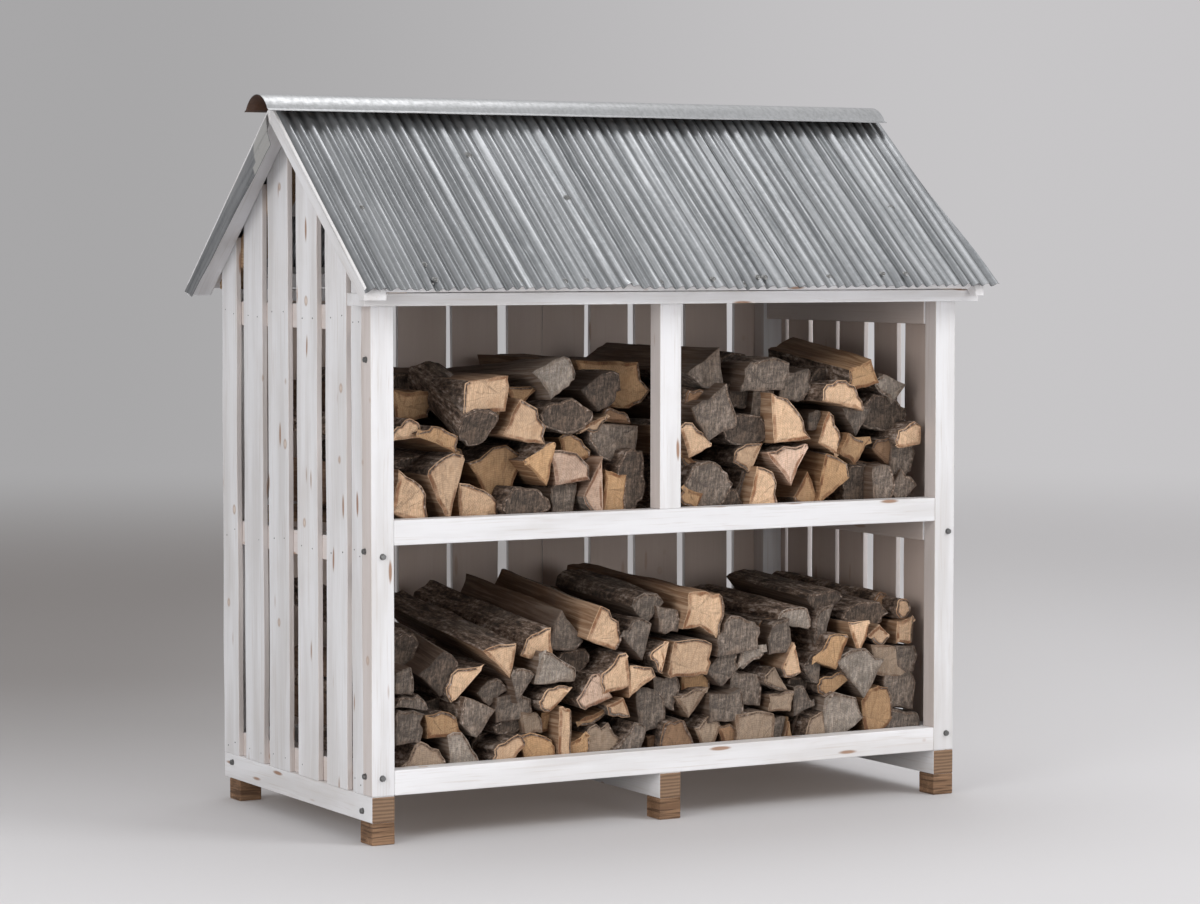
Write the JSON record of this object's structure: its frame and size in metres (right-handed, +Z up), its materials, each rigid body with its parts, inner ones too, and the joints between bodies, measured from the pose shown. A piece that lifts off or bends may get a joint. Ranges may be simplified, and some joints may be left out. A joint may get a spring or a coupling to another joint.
{
  "type": "log store",
  "caption": "Open-fronted firewood store in painted softwood with slatted sides and back, a raised floor and shelf, a corrugated gable roof with ridge cap, and stacked split logs.",
  "frame": {"origin": "middle of the footprint of the whole store, on the ground under its feet", "axes": "+X to the right seen from the open front, along the ridge; +Y from the open front to the back; +Z up"},
  "size_m": [1.429, 0.8614, 1.4018],
  "materials": {
    "painted_timber": "worn white paint",
    "bare_timber": "sawn",
    "galvanised_sheet": "dull galvanised",
    "firewood": "split, seasoned"
  },
  "bodies": {
    "root": {"foot_front_left": "bare_timber", "foot_front_middle": "bare_timber", "foot_front_right": "bare_timber", "foot_back_left": "bare_timber", "foot_back_middle": "bare_timber", "foot_back_right": "bare_timber", "bearer_left": "painted_timber", "bearer_middle": "painted_timber", "bearer_right": "painted_timber", "post_front_left": "painted_timber", "post_front_right": "painted_timber", "post_back_left": "painted_timber", "post_back_right": "painted_timber", "post_front_middle": "painted_timber", "rail_front_bottom": "painted_timber", "rail_front_middle": "painted_timber", "rail_back_bottom": "painted_timber", "rail_back_middle": "painted_timber", "eave_plate_front": "painted_timber", "eave_plate_back": "painted_timber", "side_rails_left": "painted_timber", "side_rails_right": "painted_timber", "shelf_ledgers": "bare_timber", "shelf_boards": "bare_timber", "floor_boards": "bare_timber", "left_wall_boards": "painted_timber", "right_wall_boards": "painted_timber", "back_wall_boards": "painted_timber", "ridge_board": "bare_timber", "rafters_left": "bare_timber", "rafters_right": "bare_timber", "barge_left_front": "painted_timber", "barge_left_back": "painted_timber", "barge_right_front": "painted_timber", "barge_right_back": "painted_timber", "battens_front": "bare_timber", "battens_back": "bare_timber", "roof_sheet_front_left": "galvanised_sheet", "roof_sheet_front_right": "galvanised_sheet", "roof_sheet_back_left": "galvanised_sheet", "roof_sheet_back_right": "galvanised_sheet", "ridge_cap": "galvanised_sheet", "firewood_upper_left": "firewood", "firewood_upper_right": "firewood", "firewood_lower": "firewood"}
  },
  "joints": []
}
